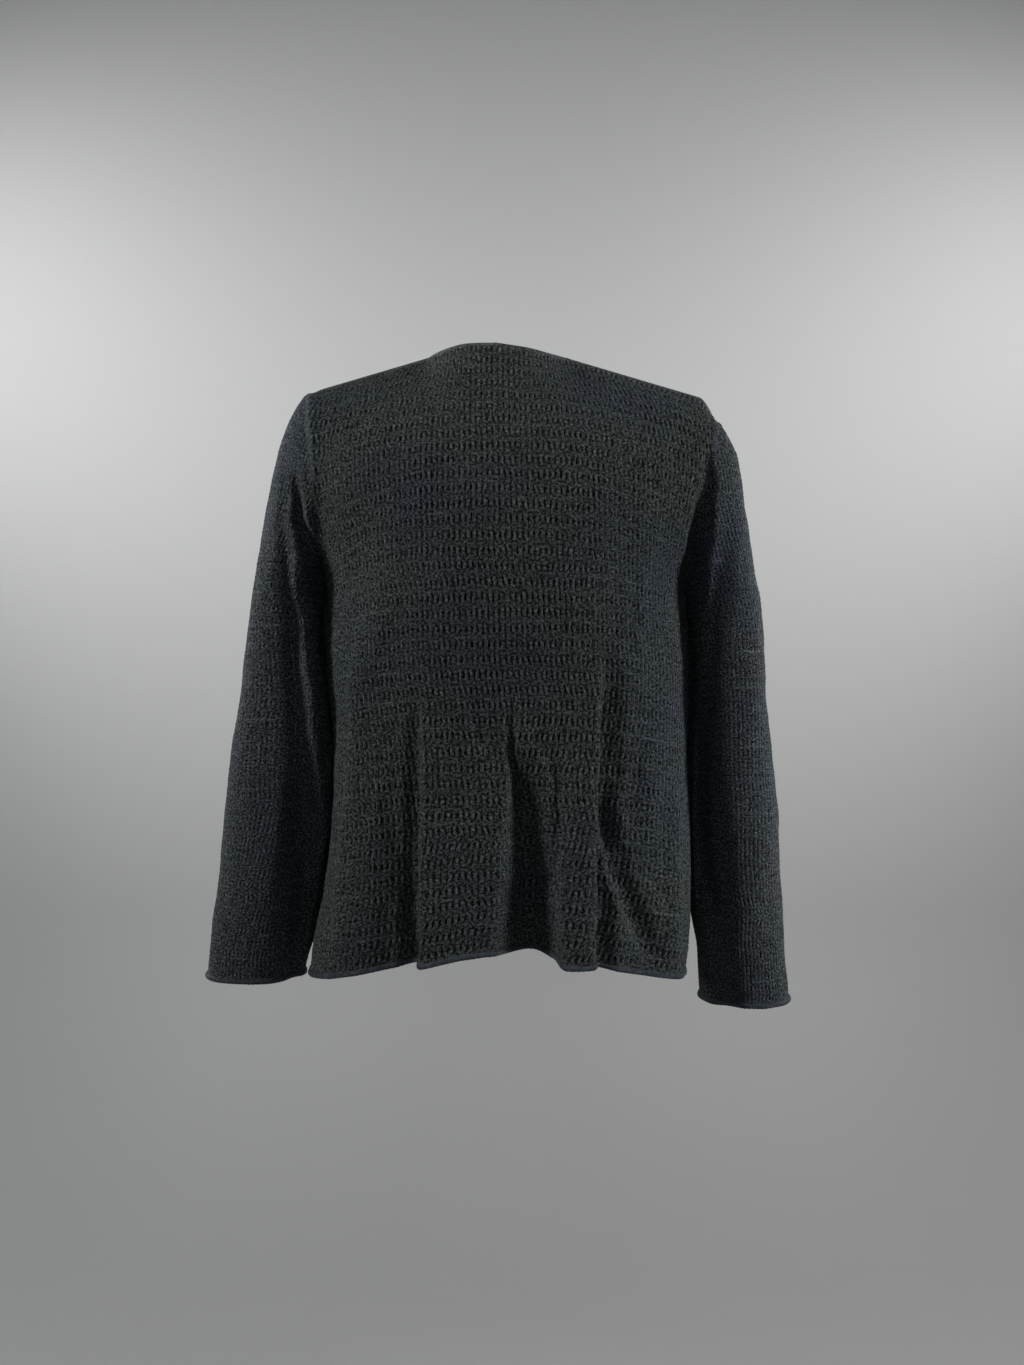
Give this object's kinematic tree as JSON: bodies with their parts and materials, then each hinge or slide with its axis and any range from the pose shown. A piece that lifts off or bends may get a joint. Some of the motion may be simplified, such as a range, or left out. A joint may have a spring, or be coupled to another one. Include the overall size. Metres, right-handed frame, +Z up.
{
  "type": "openwork knit cardigan",
  "caption": "Long-sleeved openwork knit cardigan in worn form, hollow, with set-in sleeves, edge-to-edge fronts, a round neck and rolled hem and cuffs.",
  "frame": {"origin": "middle of the neck opening, level with the neck end of the shoulder seams, where the wearer's shoulders hold the garment up", "axes": "+Z up along the hanging garment; -Y the way the wearer faces, so +Y is out of the back; +X towards the wearer's left"},
  "size_m": [0.5447, 0.2419, 0.5957],
  "materials": {
    "knit": "matte charcoal openwork yarn",
    "knit_edge": "matte charcoal yarn, plain knit rolled on itself"
  },
  "bodies": {
    "root": {"back": "knit", "front_left": "knit", "front_right": "knit", "sleeve_left": "knit", "sleeve_right": "knit", "hem_roll_back": "knit_edge", "hem_roll_front_left": "knit_edge", "hem_roll_front_right": "knit_edge", "cuff_roll_left": "knit_edge", "cuff_roll_right": "knit_edge"}
  },
  "joints": []
}
